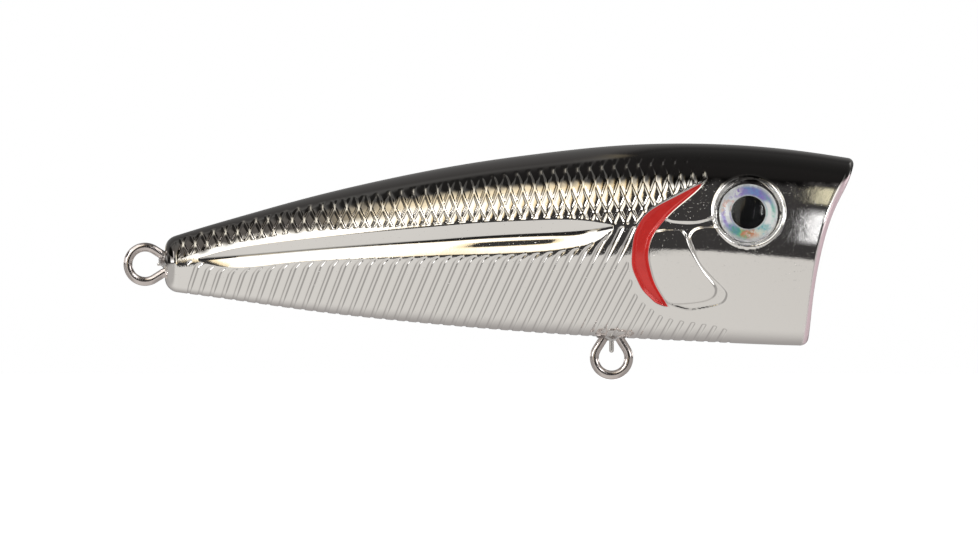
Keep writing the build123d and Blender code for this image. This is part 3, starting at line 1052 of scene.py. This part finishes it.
def turned(name, profile, matrix, material, steps=128):
    """A closed piece turned about its Z from a profile of (radius, height) in millimetres."""
    points, faces, rings = [], [], []
    for radius, height in profile:
        if radius < 1e-6:
            rings.append([len(points)] * steps)
            points.append((0, 0, height / 1000))
            continue
        rings.append(list(range(len(points), len(points) + steps)))
        for k in range(steps):
            turn = 2 * pi * k / steps
            points.append((radius * cos(turn) / 1000, radius * sin(turn) / 1000, height / 1000))
    for low, high in zip(rings, rings[1:]):
        for k in range(steps):
            nxt = (k + 1) % steps
            corners = dict.fromkeys((low[k], low[nxt], high[nxt], high[k]))
            faces.append(tuple(corners))
    flat = np.array(points)
    layers = {"local_x": flat[:, 0], "local_y": flat[:, 1]}
    piece = make_object(name, points, faces, [material], layers=layers, crease=40.0)
    piece.data.transform(matrix)
    if matrix.is_negative:
        piece.data.flip_normals()
    return piece


def dome(radius, crown, base, steps):
    """Profile points of a shallow dome from its edge to its top."""
    ball = (radius**2 + crown**2) / (2 * crown)
    points = []
    for k in range(steps + 1):
        r = radius * cos(pi / 2 * k / steps)
        points.append((r, base + (ball**2 - r**2) ** 0.5 - (ball - crown)))
    return points


def eye(prefix, side, foil, black, clear):
    """An eye: foil disc with a rolled edge, pupil, and clear dome."""
    place = eye_matrix(side)
    r, top = EYE_RADIUS, FOIL_TOP
    base, bevel = SOCKET_FLOOR, EYE_BEVEL
    disc = [(0, base), (r - bevel, base), (r, base + bevel), (r, top - bevel), (r - bevel, top)]
    disc += [(2.9, top), (2.5, top - 0.03), (0, top - 0.03)]
    mounted(turned(prefix + "_eye_foil_disc", disc, place, foil), prefix + "_eye_foil")
    p = PUPIL_RADIUS
    spot = [(0, top - 0.02), (p, top - 0.02), (p, PUPIL_TOP - 0.02), (p - 0.03, PUPIL_TOP), (0, PUPIL_TOP)]
    mounted(turned(prefix + "_eye_pupil_spot", spot, place, black), prefix + "_eye_pupil")
    edge = top + LENS_EDGE
    glass = [(0, PUPIL_TOP + 0.01), (r - 0.06, PUPIL_TOP + 0.01), (r, PUPIL_TOP + 0.07), (r, edge - 0.05)]
    glass += dome(r - 0.02, LENS_CROWN, edge, 24)
    mounted(turned(prefix + "_eye_lens_dome", glass, place, clear), prefix + "_eye_lens")


# ---- Pegs through the wire eyes, and the lacquer pooled at the roots of the wires ----
def loop_matrix(loop, outward):
    """Places a piece at a hanger's loop: its Z outward along the hanger and its Y across the body."""
    out = Vector(outward)
    across = Vector((0, 1, 0))
    matrix = Matrix((across.cross(out), across, out)).transposed().to_4x4()
    matrix.translation = Vector(to_frame(np.array([loop[0], 0.0, loop[1]])))
    return matrix


def peg(name, loop, outward, size, node, material):
    """The moulded peg that shows between a hanger's legs, with a rounded end."""
    r, tip = size
    end = [(r * cos(turn), -tip - r + r * sin(turn)) for turn in np.linspace(0, pi / 2, 7)]
    profile = [(0, -PEG_ROOT), (r, -PEG_ROOT)] + end
    mounted(turned(name, profile, loop_matrix(loop, outward), material, 32), node)


def pooled(name, loop, outward, root, size, shift, node, material):
    """Lacquer pooled round a hanger's legs: a low mound with a wide foot, shifted along the seam."""
    length, width, height = size
    profile = [(0, -0.6), (1.0, -0.6)]
    profile += [(1 - 0.55 * smooth_step(0, 1, t), t) for t in np.linspace(0, 0.8, 9)]
    profile += [(0.43, 0.88), (0.36, 0.95), (0.25, 0.99), (0.0, 1.0)]
    place = loop_matrix(loop, outward)
    shape = Matrix.Diagonal((length, width, height, 1.0))
    place = place @ Matrix.Translation((shift / 1000, 0, -root / 1000)) @ shape
    mounted(turned(name, profile, place, material, 64), node)


# ---- Studio ----
def window(g, value, low, low_full, high_full, high):
    """1 between the two full values, falling to 0 at low and at high."""
    return g.times(g.step(value, low, low_full), g.step(value, high, high_full))


def area(g, x, x_ends, z, z_ends):
    """1 inside a soft-edged upright area, and 0 outside it."""
    return g.times(window(g, x, *x_ends), window(g, z, *z_ends))


def table_seen(g, x, y):
    """The pale table that the plating reflects, darker at the sides and beyond the lure."""
    beside = g.math("MAXIMUM", g.step(x, 0.22, 0.45), g.step(x, -0.42, -0.70))
    table = g.mix(g.step(x, -0.30, 0.15), (0.700, 0.683, 0.655), (0.645, 0.625, 0.598))
    table = g.mix(beside, table, (0.43, 0.415, 0.40))
    return g.mix(g.step(y, 0.2, 1.0), table, (0.34, 0.32, 0.31))


def room_seen(g, x, z, sideways, front):
    """A dim room with two pairs of soft panels at the sides and a thin leaning strip in front."""
    panel = area(g, sideways, (0.34, 0.40, 0.70, 0.78), z, (0.36, 0.44, 0.84, 0.92))
    low_panel = area(g, sideways, (0.62, 0.70, 0.92, 0.97), z, (0.03, 0.10, 0.30, 0.36))
    room = g.mix(panel, (0.042, 0.040, 0.040), (1.3, 1.28, 1.22))
    room = g.mix(low_panel, room, (2.6, 2.55, 2.5))
    leaning = g.minus(x, g.times(z, 0.075))
    strip = area(g, leaning, (0.143, 0.158, 0.168, 0.176), z, (0.04, 0.16, 0.50, 0.66))
    return g.mix(g.times(strip, front), room, (2.0, 2.0, 2.02))


def ceiling_seen(g, x, z, sideways, front, room):
    """A bright ceiling with a golden lower edge that drops towards the tail, and a small gold card."""
    lower = g.math("MAXIMUM", g.math("MINIMUM", g.times(x, 1.75), 0.0), -0.54)
    lower = g.minus(lower, g.times(g.step(x, -0.255, -0.285), 0.36))
    lower = g.times(lower, g.step(x, -0.48, -0.40))
    raised = g.times(g.step(x, -0.09, -0.03), 0.14)
    over = g.minus(z, g.plus(g.plus(lower, raised), 0.86))
    ceiling = g.mix(g.step(over, 0.06, 0.28), (1.20, 1.00, 0.66), (1.55, 1.53, 1.46))
    upper = g.mix(g.times(g.step(over, -0.04, 0.05), g.step(sideways, 0.52, 0.42)), room, ceiling)
    card = area(g, x, (0.197, 0.212, 0.226, 0.24), z, (0.68, 0.74, 0.88, 0.93))
    upper = g.mix(g.times(card, front), upper, (1.0, 0.93, 0.66))
    return g.mix(g.step(z, 0.92, 0.97), upper, (0.20, 0.19, 0.185))


def far_side_seen(g, x, y, z, upper):
    """A grey sheen beyond the lure, with a darker band in front of it."""
    sheen_start = g.minus(y, g.times(g.step(x, -0.12, 0.02), 0.55))
    far_side = g.times(g.step(sheen_start, 0.05, 0.45), g.step(z, 0.05, 0.25))
    sheen = g.mix(g.step(y, 0.4, 0.95), (0.42, 0.40, 0.385), (0.22, 0.215, 0.21))
    upper = g.mix(far_side, upper, sheen)
    shade = g.times(g.step(y, 0.0, 0.2), g.step(g.minus(sheen_start, 0.25), 0.0, -0.2))
    return g.mix(g.times(shade, g.step(z, 0.2, 0.3)), upper, (0.16, 0.155, 0.15))


def lamps_seen(g, x, z, front, upper):
    """Two small bright boxes in front, one to each side."""
    left = area(g, x, (-0.70, -0.68, -0.62, -0.60), z, (0.28, 0.34, 0.62, 0.68))
    right = area(g, x, (0.40, 0.42, 0.46, 0.48), z, (0.34, 0.38, 0.60, 0.64))
    return g.mix(g.times(g.plus(left, right), front), upper, (11.0, 11.0, 11.0))


def horizon(g, x, z, sideways):
    """0 on the table and 1 above it: the table's far edge, lower in front of the head and mid-body."""
    drop = g.plus(g.times(g.math("MAXIMUM", x, 0.0), 0.4), 0.125)
    drop = g.plus(drop, g.times(window(g, x, -0.27, -0.23, -0.07, -0.03), 0.10))
    drop = g.times(drop, g.step(sideways, 0.45, 0.30))
    return g.step(g.plus(z, drop), -0.013, 0.013)


def studio_light():
    """White to the camera and to matt surfaces. Glossy and clear ones see a table, a dim room with
    panels and a strip, a bright ceiling, a gold card and two lamps, placed to give the plating its bands."""
    world = bpy.data.worlds.new("studio")
    world.use_nodes = True
    bpy.context.scene.world = world
    world.cycles.sampling_method = "NONE"
    g = Graph(world.node_tree)
    where = g.add("ShaderNodeTexCoord").outputs["Generated"]
    split = g.add("ShaderNodeSeparateXYZ", {"Vector": where})
    x, y, z = (split.outputs[k] for k in "XYZ")
    sideways, front = g.math("ABSOLUTE", x), g.step(y, -0.05, -0.25)

    room = room_seen(g, x, z, sideways, front)
    upper = ceiling_seen(g, x, z, sideways, front, room)
    upper = far_side_seen(g, x, y, z, upper)
    upper = lamps_seen(g, x, z, front, upper)
    seen = g.mix(horizon(g, x, z, sideways), table_seen(g, x, y), upper)

    path = g.add("ShaderNodeLightPath").outputs
    scattered = g.math("MINIMUM", path["Diffuse Depth"], 1.0)
    plain = g.math("MAXIMUM", path["Is Camera Ray"], path["Is Diffuse Ray"])
    colour = g.mix(g.math("MAXIMUM", plain, scattered), seen, (1.0, 1.0, 1.0))
    background = g.add("ShaderNodeBackground", {"Color": colour, "Strength": 1.0})
    g.add("ShaderNodeOutputWorld", {"Surface": background.outputs["Background"]})


def floor(white):
    """A wide pale floor below the lure, round so that it has no corners."""
    level, radius, spokes = -0.07, 12.0, 96
    turns = [2 * pi * k / spokes for k in range(spokes)]
    points = [(0, 0, level)] + [(radius * cos(turn), radius * sin(turn), level) for turn in turns]
    faces = [(0, 1 + k, 1 + (k + 1) % spokes) for k in range(spokes)]
    sheet = make_object("pale_floor", points, faces, [white])
    sheet.visible_glossy = False
    sheet.visible_transmission = False


def floor_finish():
    """Matt white paper."""
    material, g = new_material("white_paper")
    fibre = g.noise(0.004, 3.0)
    colour = g.mix(fibre, (0.90, 0.90, 0.90), (0.92, 0.92, 0.92))
    return finish_material(material, g, {
        "Base Color": colour, "Roughness": 0.9, "Emission Color": (1, 1, 1, 1), "Emission Strength": 0.25,
    })


def camera():
    """A long lens level with the lure, square to its flank."""
    lens = bpy.data.cameras.new("camera")
    distance, seen_width = 2.5, 0.1139
    lens.sensor_width = 36.0
    lens.lens = lens.sensor_width * distance / seen_width
    lens.clip_start, lens.clip_end = 0.01, 20.0
    thing = bpy.data.objects.new("camera", lens)
    bpy.context.scene.collection.objects.link(thing)
    thing.location = (-0.03487, -distance, -0.00299)
    thing.rotation_euler = (pi / 2, 0, 0)
    bpy.context.scene.camera = thing


def repaint(names, material):
    """Gives CAD nodes a better material."""
    for name in names:
        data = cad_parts[name].data
        data.materials.clear()
        data.materials.append(material)


studio_light()
camera()
floor(floor_finish())
bpy.context.scene.view_settings.view_transform = "Standard"

plated = plated_finish()
plastic = moulded_plastic()
body_half("plated_right_half", "body_right_half", -1, plated, plastic)
body_half("plated_left_half", "body_left_half", 1, plated, plastic)

right = "body_right_half"
bright = metal_finish("plated_peg", (0.80, 0.79, 0.77), (0.90, 0.89, 0.87), 0.12, 0.0002, 0.000002)
peg("rear_peg", REAR_LOOP, (-1, 0, 0), REAR_PEG, right, bright)
peg("belly_peg", BELLY_LOOP, (0, 0, -1), BELLY_PEG, right, bright)
lacquer = lacquer_finish()
pooled("rear_lacquer", REAR_LOOP, (-1, 0, 0), 2.32, (0.95, 0.75, 0.75), 0.42, right, lacquer)
pooled("belly_lacquer", BELLY_LOOP, (0, 0, -1), 2.42, (1.75, 0.85, 0.42), 0.0, right, lacquer)

foil, black, clear = foil_finish(), pupil_finish(), clear_finish("eye_resin", (0.97, 0.98, 0.98), 0.02)
eye("right", -1, foil, black, clear)
eye("left", 1, foil, black, clear)

wire = metal_finish("stainless_wire", (0.66, 0.60, 0.58), (0.78, 0.72, 0.70), 0.10, 0.0006, 0.0000002)
repaint(["rear_hanger", "belly_hanger", "line_tie_hanger"], wire)
cast = metal_finish("cast_ballast", (0.30, 0.30, 0.31), (0.42, 0.42, 0.43), 0.35, 0.0003, 0.00001)
repaint(["tail_ballast"], cast)
ball = metal_finish("ball_steel", (0.60, 0.60, 0.61), (0.70, 0.70, 0.70), 0.06, 0.0002, 0.000001)
repaint(["rear_rattle_ball", "front_rattle_ball"], ball)
